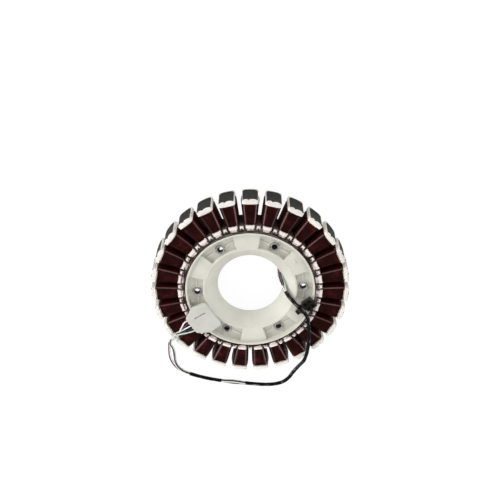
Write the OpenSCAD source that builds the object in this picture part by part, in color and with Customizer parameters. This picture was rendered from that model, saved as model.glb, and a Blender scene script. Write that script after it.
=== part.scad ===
// Stator of a direct-drive washing machine motor, lying on its rear face.
// Axis along Z, front face up, origin at the centre of the mounting plane.

/* [Laminated core] */
// Number of teeth
teeth = 27; // [15:3:30]
// Radius over the pole faces
core_r = 130; // [128:1:140]
// Height of the lamination stack
stack_h = 28.5; // [26:0.5:30]
// Height of the stack's rear face over the mounting plane
core_z = 5; // [4.6:0.1:6]
// Inner radius of the yoke
yoke_in_r = 85; // [83:0.5:87]
// Radial width of the yoke
yoke_w = 6.5; // [4.5:0.5:8]
// Width of a tooth
tooth_w = 9; // [7:0.5:10]
// Width of a pole shoe
shoe_w = 19.2; // [17:0.2:19.6]
// Thickness of a pole shoe at its middle
shoe_t = 4; // [3:0.5:5]
// Radius that a pole face is rounded to
face_r = 60; // [40:1:120]

/* [Insulators] */
// Wall along a tooth's sides and round the yoke
liner_t = 1; // [0.8:0.1:1.4]
// Wall on the ends of the stack
end_t = 1; // [0.8:0.1:1.3]
// Width of an outer flange
flange_w = 20.7; // [20.2:0.1:22]
// How far a flange stands past the stack's end
flange_rise = 3.7; // [3.4:0.1:4.4]
// Thickness of the flange behind the pole shoe
flange_t = 2; // [1.5:0.1:2.5]
// Depth of the lip beside the pole face
lip_t = 3; // [2:0.1:3.2]
// Rounding of the flange's corners
flange_round = 3; // [1:0.5:4]
// Width of an inner flange block
block_w = 9.5; // [7:0.5:11]
// Radial depth of an inner flange block
block_t = 7.5; // [6:0.5:8]
// Height of a front block over the stack's end wall
block_h = 3; // [2:0.5:4]
// Height of a rear block over the stack's end wall
rear_block_h = 2; // [1:0.5:3]
// Width of a wire post
post_w = 4.5; // [3:0.5:6]
// Radial depth of a wire post
post_t = 3; // [2:0.5:3.5]
// Height of a wire post over the stack's end wall
post_h = 3.8; // [3:0.2:5]

/* [Coils] */
// Thickness of the winding beside a tooth at the inner end
build_in = 2.1; // [1.5:0.1:2.6]
// Thickness of the winding beside a tooth at the outer end
build_out = 4.4; // [3:0.1:4.8]
// Thickness of the winding over the ends of the stack
build_end = 1.3; // [1:0.1:2]
// Rounding of the winding's long edges
coil_round = 2.4; // [1:0.2:3]
// Diameter of the magnet wire
magnet_wire_d = 1; // [0.6:0.1:1.2]

/* [Hub] */
// Radial width of the hub, from the funnel's crest to its outer wall
hub_w = 25.1; // [24:0.1:26]
// Radial width of the funnel
funnel_w = 16.7; // [15:0.1:20]
// Height of the funnel's foot
throat_z = 19; // [17:0.5:21]
// Height of the outer rim
rim_z = 39.4; // [38.6:0.1:40.4]
// Thickness of the outer rim
rim_t = 2.4; // [1.6:0.1:3]
// Lower end of the outer wall
wall_z = 5; // [3:0.5:8]
// Height of the pocket floors
floor_z = 31; // [30:0.5:32]
// Thickness of the pocket floors and walls
hub_t = 2.4; // [1.6:0.1:3]
// Height of the raised panels and the funnel's crest
panel_z = 36; // [35:0.1:37]
// Half the angle of a raised panel
panel_half = 12.7; // [9:0.1:14]
// Height of the ribs over the pocket floors
rib_h = 1.2; // [0.8:0.1:1.8]
// Thickness of the ribs
rib_t = 2.2; // [1.6:0.1:3]
// Depth of the ribs below the pocket floors
under_rib_h = 10; // [6:0.5:14]
// Diameter of the locating pin
pin_d = 4.4; // [3:0.2:6]
// Height of the locating pin over its panel
pin_h = 2; // [1:0.2:3]

/* [Mounting bolts] */
// Number of bolt bushes
bolts = 6; // [4:1:6]
// How far the bolt circle lies inside the hub's outer wall
bolt_in = 15.2; // [13:0.1:17]
// Diameter of the bolt holes
bolt_d = 8.5; // [6.5:0.1:9]
// Outer diameter of a steel bush
bush_d = 12.4; // [11.4:0.1:13]
// Length of a steel bush
bush_l = 33.5; // [32.5:0.1:35]
// Wall of a boss round its bush
boss_t = 1.4; // [1:0.1:2]
// How far a bush stands out of its boss
bush_proud = 0.6; // [0.2:0.1:1]

/* [Terminal cover] */
// Thickness of the cover
cover_t = 4.8; // [4.2:0.1:6]
// How far the cover reaches in over the funnel's crest
cover_in = 1.7; // [1:0.1:4]
// How far the cover reaches out past the hub's outer wall
cover_reach = 9.2; // [8:0.2:12]
// Half the width of the cover at its widest
cover_half_w = 22; // [20:1:24]
// Half the width of the cover's outer face
cover_face_half = 11; // [10.6:0.1:12]
// Rounding of the cover's corners
cover_round = 3; // [2:0.5:4]

/* [Harness] */
// Diameter of one lead wire
lead_d = 1.8; // [1.4:0.1:2]
// Diameter of the sleeved harness
sleeve_d = 5; // [4:0.2:5.4]
// Diameter of the bare wires past the sleeve
tail_d = 3.4; // [2.6:0.2:3.6]
// Outer diameter of the white tie
tie_d = 8; // [7.4:0.2:8]
// Wall of the clip over the sleeve
clip_t = 2; // [1.4:0.2:2.6]
// Width of the clip along the harness
clip_w = 7; // [5:0.5:9]
// Side of the black connector block
block_side = 15; // [12:0.5:16]
// Height of the black connector block
block_rise = 7; // [5:0.5:9]
// Length of the plug on the harness
plug_l = 26; // [18:1:30]
// Width of the plug
plug_w = 16; // [12:1:18]
// Height of the plug
plug_h = 10; // [8:0.5:11]

/* [Hidden] */
$fn = 48;
seat_gap = 0.2;
// How far a cut runs past the solid that it cuts
past = 1;
coil_name = [for (i = [1:teeth]) str("coil_", i < 10 ? "0" : "", i)];

pitch = 360 / teeth;
first_tooth = 90;
half_stack = stack_h / 2;
mid_z = core_z + half_stack;
yoke_out_r = yoke_in_r + yoke_w;
shoe_in_r = core_r - shoe_t;
flange_in_r = shoe_in_r - flange_t;
yoke_gap = 0.1;
wall_extra = 2.4;
wall_out_r = yoke_out_r + liner_t + wall_extra;
deck = half_stack + end_t;
channel_z = mid_z + deck;
coil_gap = 0.5;
coil_back = 1.4;
coil_in_r = wall_out_r + coil_gap;
coil_out_r = flange_in_r - coil_back;
liner_w = tooth_w + 2 * liner_t;
coil_steps = 4;
root = end_t / 2;
block_back = 0.3;
post_back = 0.8;
wire_gap = 0.1;

hub_r = yoke_in_r - seat_gap;
crest_r = hub_r - hub_w;
bore_r = crest_r - funnel_w;
pocket_in_r = crest_r + hub_t;
pocket_out_r = hub_r - rim_t;
floor_under = floor_z - hub_t;
funnel_gap = 0.1;
lip_h = 2;
lip_w = 2.5;
slope = (panel_z - throat_z) / (crest_r - bore_r);
bolt_r = hub_r - bolt_in;
first_bolt = 3.333;
boss_r = bush_d / 2 + boss_t;
bush_gap = 0.05;
boss_top = bush_l - bush_proud;
panel_pitch = 360 / bolts;
first_panel = first_bolt + panel_pitch / 2;
pin_in = 13.7;
pin_angle = 36;

cover_angle = 213.333;
rest_gap = 0.1;
cover_z = rim_z + rest_gap;
cover_in_r = crest_r - cover_in;
cover_out_r = hub_r + cover_reach;
lead_z = cover_z + cover_t / 2;
lead_sides = [-9, -4.5, 0, 4.5, 9];

function polar(r, angle, z) = [r * cos(angle), r * sin(angle), z];
// Where the sleeve lies in the clip, and where it ends over the funnel
clip_place = polar(hub_r - 12.35, -20.2, 44.2);
tail_start = polar(bore_r + 10.4, -13, 35);
// The white tie round the leads, from its first face to its last
tie_start = [-98, -66];
tie_end = [-105, -74];
tie_z = 41.2;
// The sleeved harness, from the tie over the coils to the floor and back to the bore
sleeve_route = [
    [-105, -74, 41.2], [-108.5, -78, 41.2], [-111, -84, 38.5], [-111, -93, 31], [-111, -104, 22],
    [-111, -117, 12], [-110, -130, 5], [-106, -142, 3], [-98, -152, 3], [-87, -160, 3], [-65, -168, 3],
    [-42, -173, 3], [-18, -175, 3], [3, -178, 3], [22, -181, 3], [38, -182, 3], [51, -178, 3], [60, -170, 3],
    [67, -158, 4], [71, -146, 9], [73, -134, 20], [75, -122, 33], [76, -111, 40], [78, -96, 41],
    [79, -80, 41], [79, -63, 41.2], polar(hub_r + 6.8, -31.6, 42.4), polar(hub_r - 1.6, -25.6, 43.8),
    clip_place, polar(crest_r + 2.9, -16.7, 41.5), tail_start];
// The bare wires, from the end of the sleeve over the bore's edge to the plug
tail_route = [
    tail_start, polar(bore_r + 4.4, -7.3, 29), polar(bore_r + 0.1, 4, 25), polar(bore_r - 1.7, 16.9, 21),
    polar(bore_r - 0.1, 26.3, 16.5), polar(bore_r + 4.4, 34.7, 10.5), polar(bore_r + 9.3, 43.5, 5.5),
    polar(bore_r + 13.4, 52.9, 4), polar(bore_r + 15.2, 61.2, 4), polar(bore_r + 14.6, 69.7, 4),
    polar(bore_r + 12.3, 77.5, 4)];

clip_angle = 220;
clip_hole_r = sleeve_d / 2 + seat_gap;

// Turns and places a flat drawing so that its thickness runs outward along a tooth
module along_tooth(angle, from_r, depth) {
    rotate([0, 0, angle])
        translate([from_r, 0, 0])
            rotate([90, 0, 90])
                linear_extrude(depth)
                    children();
}

// Outline of half a flange, standing on the middle plane, with its two far corners rounded
module flange_outline() {
    top = half_stack + flange_rise;
    side = flange_w / 2;
    steps = 6;
    corner = [
        for (k = [0:steps])
            [side - flange_round + flange_round * cos(90 * k / steps),
             top - flange_round + flange_round * sin(90 * k / steps)]];
    polygon(concat(
        [[-side, 0], [side, 0]],
        corner,
        [for (k = [steps:-1:0]) [-corner[k].x, corner[k].y]]));
}

module lamination_outline() {
    difference() {
        circle(yoke_out_r);
        circle(yoke_in_r);
    }
    for (i = [0:teeth - 1])
        rotate(first_tooth + i * pitch) {
            translate([yoke_out_r - liner_t, -tooth_w / 2])
                square([shoe_in_r - yoke_out_r + 2 * liner_t, tooth_w]);
            intersection() {
                translate([core_r - face_r, 0])
                    circle(face_r);
                translate([shoe_in_r, -shoe_w / 2])
                    square([2 * shoe_t, shoe_w]);
            }
        }
}

module lamination_core() {
    color([0.24, 0.24, 0.23])
        translate([0, 0, core_z])
            linear_extrude(stack_h)
                lamination_outline();
}

// A strip along every tooth, between two radii
module tooth_strips(width, in_r, out_r) {
    for (i = [0:teeth - 1])
        rotate(first_tooth + i * pitch)
            translate([in_r, -width / 2])
                square([out_r - in_r, width]);
}

// Half of the moulded insulation, upward from the middle plane, round the space of the core
module half_insulator(lug_h) {
    difference() {
        union() {
            linear_extrude(deck)
                difference() {
                    union() {
                        circle(wall_out_r);
                        tooth_strips(liner_w, yoke_out_r, flange_in_r + flange_t / 2);
                    }
                    circle(hub_r + seat_gap);
                }
            for (i = [0:teeth - 1]) {
                along_tooth(first_tooth + i * pitch, flange_in_r, flange_t + lip_t)
                    flange_outline();
                along_tooth(first_tooth + i * pitch, wall_out_r - block_t, block_t - block_back)
                    translate([-block_w / 2, deck - root])
                        square([block_w, lug_h + root]);
            }
        }
        translate([0, 0, -past])
            linear_extrude(half_stack + past) {
                circle(yoke_out_r + yoke_gap);
                tooth_strips(tooth_w, yoke_in_r, core_r);
                tooth_strips(shoe_w, shoe_in_r, core_r);
            }
    }
}

module front_insulator() {
    color([0.92, 0.91, 0.88])
        translate([0, 0, mid_z]) {
            half_insulator(block_h);
            for (i = [0:teeth - 1])
                along_tooth(first_tooth + (i + 0.5) * pitch, wall_out_r - post_t - post_back, post_t)
                    translate([-post_w / 2, deck - root])
                        square([post_w, post_h + root]);
        }
}

module rear_insulator() {
    color([0.92, 0.91, 0.88])
        translate([0, 0, mid_z])
            mirror([0, 0, 1])
                half_insulator(rear_block_h);
}

// Outline of a winding at one end, in order round it from its right side: a rectangle with rounded corners
function winding_ring(r, build) =
    let (w = liner_w / 2 + build - coil_round, h = deck + build_end - coil_round)
    [for (corner = [0:3], k = [0:coil_steps])
        let (turn = 90 * (corner + k / coil_steps))
        [r, (corner % 3 == 0 ? w : -w) + coil_round * cos(turn), (corner < 2 ? h : -h) + coil_round * sin(turn)]];
// Corners of the insulated tooth inside the winding, in the same order
function tooth_ring(r) = [
    for (corner = [0:3])
        [r, (corner % 3 == 0 ? 1 : -1) * liner_w / 2, (corner < 2 ? 1 : -1) * deck]];

module coil(i) {
    row = coil_steps + 1;
    around = 4 * row;
    hole = 2 * around;
    points = concat(
        winding_ring(coil_in_r, build_in), winding_ring(coil_out_r, build_out),
        tooth_ring(coil_in_r), tooth_ring(coil_out_r));
    outside = [
        for (k = [0:around - 1])
            let (m = (k + 1) % around)
            [k, around + k, around + m, m]];
    inside = [
        for (k = [0:3])
            let (m = (k + 1) % 4)
            [hole + m, hole + 4 + m, hole + 4 + k, hole + k]];
    ends = [
        for (corner = [0:3], k = [0:coil_steps - 1])
            let (p = corner * row + k)
            each [[hole + corner, p, p + 1], [hole + 4 + corner, around + p + 1, around + p]]];
    sides = [
        for (corner = [0:3])
            let (next = (corner + 1) % 4, p = corner * row + coil_steps, q = next * row)
            each [
                [hole + corner, p, q, hole + next],
                [hole + 4 + corner, hole + 4 + next, around + q, around + p]]];
    color([0.2, 0.06, 0.06])
        translate([0, 0, mid_z])
            rotate([0, 0, first_tooth + i * pitch])
                polyhedron(points, concat(outside, inside, ends, sides));
}

// One turn of magnet wire round the channel behind the hub's rim
module wire_ring(r, z) {
    rotate_extrude()
        translate([r, z])
            circle(magnet_wire_d / 2, $fn = 24);
}

module crossover_wires() {
    step = magnet_wire_d + wire_gap;
    color([0.25, 0.08, 0.07])
        for (i = [0:1])
            wire_ring(yoke_in_r + magnet_wire_d / 2 + i * step, rim_z - (i + 1) * step);
}

// Funnel round the bore, up to its crest at the panels' height
module hub_funnel() {
    foot = throat_z - lip_h;
    color([0.82, 0.81, 0.77])
        rotate_extrude($fn = 96)
            polygon([
                [bore_r, throat_z], [crest_r, panel_z], [crest_r, foot + slope * (crest_r - bore_r - lip_w)],
                [bore_r + lip_w, foot], [bore_r, foot]]);
}

// Turned ring of the hub outside the funnel: panel level, rim and outer wall
module hub_ring() {
    rotate_extrude($fn = 96)
        polygon([
            [crest_r + funnel_gap, panel_z], [pocket_out_r, panel_z], [pocket_out_r, rim_z], [hub_r, rim_z],
            [hub_r, wall_z], [hub_r - hub_t, wall_z], [hub_r - hub_t, floor_under],
            [crest_r + funnel_gap, floor_under]]);
}

// Outline of a part of a ring between two radii, centred on an angle
module ring_part(angle, half, r1, r2) {
    reach = 2 * r2;
    rotate(angle)
        intersection() {
            difference() {
                circle(r2);
                circle(r1);
            }
            polygon([[0, 0], reach * [cos(half), -sin(half)], reach * [cos(half), sin(half)]]);
        }
}

module hub_boss() {
    rib_half = bolt_r * sin(180 / bolts - panel_half) + hub_t / 2;
    rib_foot = floor_z - hub_t / 2;
    rib_step = 1;
    translate([bolt_r, 0, 0])
        cylinder(h = boss_top, r = boss_r);
    translate([bolt_r - rib_t / 2, -rib_half, rib_foot])
        cube([rib_t, 2 * rib_half, floor_z + rib_h - rib_foot]);
    translate([pocket_in_r - hub_t / 2, -rib_t / 2, floor_under - under_rib_h])
        cube([pocket_out_r - pocket_in_r + hub_t, rib_t, under_rib_h + hub_t + rib_h - rib_step]);
}

module hub() {
    ledge = 0.4;
    wall_turn = hub_t / bolt_r * 180 / PI;
    color([0.82, 0.81, 0.77])
        difference() {
            union() {
                difference() {
                    hub_ring();
                    for (i = [0:bolts - 1]) {
                        translate([0, 0, floor_z])
                            linear_extrude(rim_z)
                                ring_part(first_bolt + i * panel_pitch, panel_pitch / 2 - panel_half,
                                    pocket_in_r + ledge, pocket_out_r - ledge);
                        translate([0, 0, floor_under - past])
                            linear_extrude(panel_z - hub_t - floor_under + past)
                                ring_part(first_panel + i * panel_pitch, panel_half - wall_turn,
                                    pocket_in_r + ledge, pocket_out_r - ledge);
                    }
                }
                for (i = [0:bolts - 1])
                    rotate([0, 0, first_bolt + i * panel_pitch])
                        hub_boss();
                rotate([0, 0, pin_angle])
                    translate([hub_r - pin_in, 0, panel_z - hub_t / 2])
                        cylinder(h = pin_h + hub_t / 2, d = pin_d);
            }
            for (i = [0:bolts - 1])
                rotate([0, 0, first_bolt + i * panel_pitch])
                    translate([bolt_r, 0, -past])
                        cylinder(h = boss_top + 2 * past, r = bush_d / 2 + bush_gap);
        }
}

module bolt_bushes() {
    color([0.62, 0.62, 0.6])
        for (i = [0:bolts - 1])
            rotate([0, 0, first_bolt + i * panel_pitch])
                translate([bolt_r, 0, 0])
                    difference() {
                        cylinder(h = bush_l, d = bush_d);
                        translate([0, 0, -past])
                            cylinder(h = bush_l + 2 * past, d = bolt_d);
                    }
}

module terminal_cover() {
    r = cover_round;
    taper = 2;
    shoulder_r = cover_out_r - 2 * cover_face_half + 2 * r;
    corners = [
        [cover_in_r + r, cover_half_w - r - taper], [shoulder_r, cover_half_w - r], [cover_out_r - r, cover_face_half]];
    foot_w = cover_half_w;
    foot_gap = 1;
    foot_root = 0.5;
    color([0.93, 0.93, 0.92])
        rotate([0, 0, cover_angle]) {
            translate([0, 0, cover_z])
                linear_extrude(cover_t)
                    hull()
                        for (p = corners, side = [-1, 1])
                            translate([p.x, side * p.y])
                                circle(r, $fn = 24);
            translate([pocket_in_r + foot_gap, -foot_w / 2, panel_z])
                cube([pocket_out_r - pocket_in_r - 2 * foot_gap, foot_w, cover_z - panel_z + foot_root]);
        }
}

function unit(v) = v / norm(v);
function cover_point(r, side, z) = [
    r * cos(cover_angle) - side * sin(cover_angle),
    r * sin(cover_angle) + side * cos(cover_angle), z];
function heading(path, i) =
    unit(path[min(i + 1, len(path) - 1)] - path[max(i - 1, 0)]);
// A ring of points round place i of a path, square to the path
function tube_ring(path, i, d, sides) =
    let (t = heading(path, i), a = unit(cross(t, abs(t.z) > 0.9 ? [1, 0, 0] : [0, 0, 1])), b = cross(t, a))
    [for (k = [0:sides - 1]) path[i] + d / 2 * (cos(360 * k / sides) * a + sin(360 * k / sides) * b)];

// A closed tube swept along the points of a path
module tube(path, d, sides) {
    n = len(path);
    points = [for (i = [0:n - 1]) each tube_ring(path, i, d, sides)];
    walls = [
        for (i = [0:n - 2], k = [0:sides - 1])
            let (m = (k + 1) % sides)
            each [
                [i * sides + k, (i + 1) * sides + k, (i + 1) * sides + m],
                [i * sides + k, (i + 1) * sides + m, i * sides + m]]];
    first = [for (k = [0:sides - 1]) k];
    last = [for (k = [0:sides - 1]) n * sides - 1 - k];
    polyhedron(points, concat(walls, [first], [last]));
}

// Smooth points through a route: each stretch is cut into pieces along a cubic curve
function smooth_point(a, b, c, d, t) =
    0.5 * (2 * b + (c - a) * t + (2 * a - 5 * b + 4 * c - d) * t * t + (3 * b - a - 3 * c + d) * t * t * t);
function smooth(route, pieces) = concat(
    [for (i = [0:len(route) - 2], k = [0:pieces - 1])
        smooth_point(
            i > 0 ? route[i - 1] : 2 * route[0] - route[1],
            route[i],
            route[i + 1],
            i < len(route) - 2 ? route[i + 2] : 2 * route[i + 1] - route[i],
            k / pieces)],
    [route[len(route) - 1]]);

// Place of lead k of the fan at the tie's first face
function tie_point(k) =
    let (out = unit(tie_end - tie_start), across = [-out.y, out.x], spread = (k - 2) * (lead_d + wire_gap) / 2)
    [for (v = tie_start + across * spread) v];

module lead_wires() {
    out = unit(tie_end - tie_start);
    reach = norm(tie_start) - cover_out_r;
    color([0.85, 0.83, 0.8])
        for (k = [0:len(lead_sides) - 1]) {
            drop = (k % 2 == 0 ? 1 : -1) * (lead_d / 2 + wire_gap);
            at = tie_point(k);
            route = [
                cover_point(cover_out_r, lead_sides[k], lead_z),
                cover_point(cover_out_r + reach / 6, lead_sides[k], lead_z),
                [at.x - reach / 3 * out.x, at.y - reach / 3 * out.y, tie_z + drop],
                [at.x - reach / 8 * out.x, at.y - reach / 8 * out.y, tie_z + drop],
                [at.x, at.y, tie_z + drop]];
            tube(route, lead_d, 8);
        }
}

module harness_tie() {
    span = tie_end - tie_start;
    color([0.93, 0.93, 0.92])
        translate([tie_start.x, tie_start.y, tie_z])
            rotate([0, 90, atan2(span.y, span.x)])
                cylinder(h = norm(span), d = tie_d);
}

module harness_sleeve() {
    color([0.08, 0.08, 0.08])
        tube(smooth(sleeve_route, 2), sleeve_d, 10);
}

module harness_tail() {
    color([0.3, 0.12, 0.14])
        tube(smooth(tail_route, 2), tail_d, 8);
}

module harness_plug() {
    end = tail_route[len(tail_route) - 1];
    color([0.9, 0.9, 0.88])
        translate([end.x - plug_l, end.y - plug_w / 2, 0])
            cube([plug_l, plug_w, plug_h]);
}

// A saddle under and over the sleeve, with the block's seat at its outer end
module cable_clip() {
    base_z = panel_z + rest_gap;
    arm = clip_hole_r + clip_t;
    top_z = clip_place.z + arm;
    color([0.06, 0.06, 0.06])
        translate([clip_place.x, clip_place.y, 0])
            rotate([0, 0, clip_angle])
                difference() {
                    translate([-arm, -clip_w / 2, base_z])
                        cube([2 * arm, clip_w, top_z - base_z]);
                    translate([0, 0, clip_place.z])
                        rotate([90, 0, 0])
                            cylinder(h = clip_w + 2 * past, r = clip_hole_r, center = true);
                }
}

module sensor_connector() {
    base_z = rim_z + rest_gap;
    arm = clip_hole_r + clip_t;
    color([0.07, 0.07, 0.07])
        translate([clip_place.x, clip_place.y, base_z])
            rotate([0, 0, clip_angle])
                translate([-arm - block_side, -block_side / 2, 0])
                    cube([block_side, block_side, block_rise]);
}

lamination_core();
front_insulator();
rear_insulator();
hub();
hub_funnel();
bolt_bushes();
crossover_wires();
terminal_cover();
lead_wires();
harness_tie();
harness_sleeve();
harness_tail();
harness_plug();
cable_clip();
sensor_connector();
for (i = [0:teeth - 1])
    coil(i);
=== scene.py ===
# Stator of a direct-drive washing machine motor: a laminated core with wound teeth, moulded
# insulators, an ivory hub with steel bushes, a terminal cover and a sleeved wire harness.
# Sizes of shapes are in millimetres and become metres when a piece is made. Distances in the
# finishes and on the stage are in metres.
import math
import random

import bmesh
import bpy
from mathutils import Matrix, Vector


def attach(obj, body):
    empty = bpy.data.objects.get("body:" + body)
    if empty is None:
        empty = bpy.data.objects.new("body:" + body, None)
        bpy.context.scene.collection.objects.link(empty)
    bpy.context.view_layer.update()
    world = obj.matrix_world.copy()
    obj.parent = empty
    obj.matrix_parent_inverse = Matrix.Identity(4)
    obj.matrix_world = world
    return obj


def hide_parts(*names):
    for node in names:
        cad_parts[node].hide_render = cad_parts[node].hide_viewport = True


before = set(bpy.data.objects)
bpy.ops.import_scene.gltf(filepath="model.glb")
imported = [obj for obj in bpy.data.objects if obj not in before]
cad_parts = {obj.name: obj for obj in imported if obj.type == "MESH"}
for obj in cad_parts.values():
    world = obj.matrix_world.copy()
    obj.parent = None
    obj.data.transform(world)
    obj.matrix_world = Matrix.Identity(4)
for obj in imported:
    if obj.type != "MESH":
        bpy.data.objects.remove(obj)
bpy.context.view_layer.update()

# The laminated core: thin sheets of electrical steel, punched with 27 teeth and stacked.
# Its dark pole faces look out between the flanges, and show the edges of the sheets.
TEETH = 27
FIRST_TOOTH = math.radians(90)
PITCH = 2 * math.pi / TEETH
CORE_R = 130.0
FACE_R = 60.0
STACK_MIDDLE = 19.25
SHEET_T = 0.0005
BLACK = (0, 0, 0, 1)
WHITE = (1, 1, 1, 1)


def seen(red, green, blue):
    """A colour as it looks on the object, from 0 to 255, in the form that a shader takes."""
    parts = [c / 255 for c in (red, green, blue)]
    return tuple(c / 12.92 if c < 0.04045 else ((c + 0.055) / 1.055) ** 2.4 for c in parts) + (1.0,)


def new_finish(name):
    """A new material with its node tree, its shader and the place on the object."""
    finish = bpy.data.materials.new(name)
    finish.use_nodes = True
    tree = finish.node_tree
    place = tree.nodes.new("ShaderNodeTexCoord")
    return finish, tree, tree.nodes["Principled BSDF"], place.outputs["Object"]


def clouds(tree, place, scale, detail=3.0):
    """Soft noise over the object, as a number from 0 to 1."""
    noise = tree.nodes.new("ShaderNodeTexNoise")
    noise.inputs["Scale"].default_value = scale
    noise.inputs["Detail"].default_value = detail
    tree.links.new(place, noise.inputs["Vector"])
    return noise.outputs["Fac"]


def tones(tree, share, stops):
    """Colours along a number: stops are pairs of a place from 0 to 1 and a colour."""
    ramp = tree.nodes.new("ShaderNodeValToRGB")
    ramp.color_ramp.elements[0].position = stops[0][0]
    ramp.color_ramp.elements[0].color = stops[0][1]
    ramp.color_ramp.elements[1].position = stops[-1][0]
    ramp.color_ramp.elements[1].color = stops[-1][1]
    for at, colour in stops[1:-1]:
        ramp.color_ramp.elements.new(at).color = colour
    tree.links.new(share, ramp.inputs["Fac"])
    return ramp.outputs["Color"]


def spread(tree, share, low, high, start=0.0, end=1.0):
    """A number from start to end carried over to the range from low to high."""
    ranged = tree.nodes.new("ShaderNodeMapRange")
    for name, value in (("From Min", start), ("From Max", end), ("To Min", low), ("To Max", high)):
        ranged.inputs[name].default_value = value
    tree.links.new(share, ranged.inputs["Value"])
    return ranged.outputs["Result"]


def relief(tree, shader, height, distance, strength):
    """Fine relief on the surface."""
    bump = tree.nodes.new("ShaderNodeBump")
    bump.inputs["Distance"].default_value = distance
    bump.inputs["Strength"].default_value = strength
    tree.links.new(height, bump.inputs["Height"])
    tree.links.new(bump.outputs["Normal"], shader.inputs["Normal"])


def sums(tree, operation, first, second):
    """A sum in a node tree: first is a socket, second a socket or a number."""
    node = tree.nodes.new("ShaderNodeMath")
    node.operation = operation
    tree.links.new(first, node.inputs[0])
    if isinstance(second, float):
        node.inputs[1].default_value = second
    else:
        tree.links.new(second, node.inputs[1])
    return node.outputs[0]


def split(tree, vector):
    """The three numbers of a place or a direction, by the names of the axes."""
    axes = tree.nodes.new("ShaderNodeSeparateXYZ")
    tree.links.new(vector, axes.inputs["Vector"])
    return axes.outputs


def length_of(tree, vector):
    """How long a vector is."""
    node = tree.nodes.new("ShaderNodeVectorMath")
    node.operation = "LENGTH"
    tree.links.new(vector, node.inputs[0])
    return node.outputs["Value"]


def mixed(tree, share, first, second):
    """Two colours blended by a share from 0 to 1. Each is a socket or a fixed colour."""
    blend = tree.nodes.new("ShaderNodeMix")
    blend.data_type = "RGBA"
    tree.links.new(share, blend.inputs["Factor"])
    for name, colour in (("A", first), ("B", second)):
        if isinstance(colour, tuple):
            blend.inputs[name].default_value = colour
        else:
            tree.links.new(colour, blend.inputs[name])
    return blend.outputs["Result"]


sheet_steel, tree, shader, place = new_finish("stacked_steel_sheets")
sheet = sums(tree, "FRACT", sums(tree, "DIVIDE", split(tree, place)["Z"], SHEET_T), 0.0)
joint = tones(tree, sheet, [(0.0, BLACK), (0.14, WHITE), (0.86, WHITE), (1.0, BLACK)])
stain_and_painted_shade = tones(tree, clouds(tree, place, 90), [(0.3, seen(26, 26, 24)), (0.7, seen(41, 41, 38))])
tree.links.new(mixed(tree, joint, seen(29, 28, 26), stain_and_painted_shade), shader.inputs["Base Color"])
tree.links.new(spread(tree, clouds(tree, place, 400), 0.36, 0.52), shader.inputs["Roughness"])
relief(tree, shader, joint, 0.00008, 0.6)
shader.inputs["Specular IOR Level"].default_value = 0.35
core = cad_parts["lamination_core"]
core.data.materials.clear()
core.data.materials.append(sheet_steel)

# The insulators: two white mouldings pressed on the core from the front and the rear. Each
# tooth gets a liner, a flange with rounded corners round its pole face, and a block at the yoke.
MM = 0.001
LINER_W = 11.0
DECK = 15.25
WALL_IN_R = 91.6
WALL_OUT_R = 94.9
YOKE_IN_R = 85.0
FLANGE_IN_R = 124.0
FLANGE_BACK_R = 126.0
FLANGE_OUT_R = 129.0
LIP_R = 127.9
LIP_STEP = 2.4
LEDGE_W = 19.0
LOBES = ((5.6, 3.7), (-3.6, 5.6))
STRIP_W = 0.74
FLANGE_W = 20.7
FLANGE_RISE = 17.95
FLANGE_ROUND = 3.0
CORNER_R = 4.5
SHOE_W = 19.2
HALF_STACK = 14.25
BLOCK_IN_R = 86.2
BLOCK_STEP_R = 90.4
BLOCK_OUT_R = 94.6
BLOCK_W = 9.5
POST_IN_R = 91.1
POST_OUT_R = 94.1
POST_W = 4.5
POST_TOP = 19.05
STAND = Matrix(((0, 0, 1, 0), (1, 0, 0, 0), (0, 1, 0, 0), (0, 0, 0, 1)))


def prism(outline, low, high, edge=0.0, rounds=2, only_top=False):
    """A prism over a flat outline, with its edges rounded."""
    solid = bmesh.new()
    base = solid.faces.new([solid.verts.new((x, y, low)) for x, y in outline])
    raised = bmesh.ops.extrude_face_region(solid, geom=[base])["geom"]
    top = [v for v in raised if isinstance(v, bmesh.types.BMVert)]
    bmesh.ops.translate(solid, vec=(0, 0, high - low), verts=top)
    bmesh.ops.recalc_face_normals(solid, faces=solid.faces)
    if edge:
        sharp = [e for e in solid.edges if e.calc_face_angle(0) > math.radians(32)]
        if only_top:
            sharp = [e for e in sharp if all(v.co.z > high - 1e-4 for v in e.verts)]
        bmesh.ops.bevel(solid, geom=sharp, offset=edge, segments=rounds, profile=0.5, affect="EDGES",
                        clamp_overlap=True)
    return solid


def block(low, high, edge=0.3, rounds=2):
    """A block between two corners, with rounded edges."""
    outline = [(low[0], low[1]), (high[0], low[1]), (high[0], high[1]), (low[0], high[1])]
    return prism(outline, low[2], high[2], edge, rounds)


def turned(profile, steps):
    """A closed profile of radius and height, turned round the axis."""
    solid = bmesh.new()
    rings = []
    for k in range(steps):
        a = 2 * math.pi * k / steps
        rings.append([solid.verts.new((r * math.cos(a), r * math.sin(a), z)) for r, z in profile])
    for k in range(steps):
        here, there = rings[k], rings[(k + 1) % steps]
        for j in range(len(profile)):
            m = (j + 1) % len(profile)
            solid.faces.new((here[j], there[j], there[m], here[m]))
    bmesh.ops.recalc_face_normals(solid, faces=solid.faces)
    return solid


def skinned(solid, rows):
    """Faces from row to row of points round a shape, and one face at each end."""
    count = len(rows[0])
    for here, there in zip(rows, rows[1:]):
        for j in range(count):
            m = (j + 1) % count
            solid.faces.new((here[j], there[j], there[m], here[m]))
    solid.faces.new(rows[0])
    solid.faces.new(list(reversed(rows[-1])))
    bmesh.ops.recalc_face_normals(solid, faces=solid.faces)
    return solid


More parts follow.
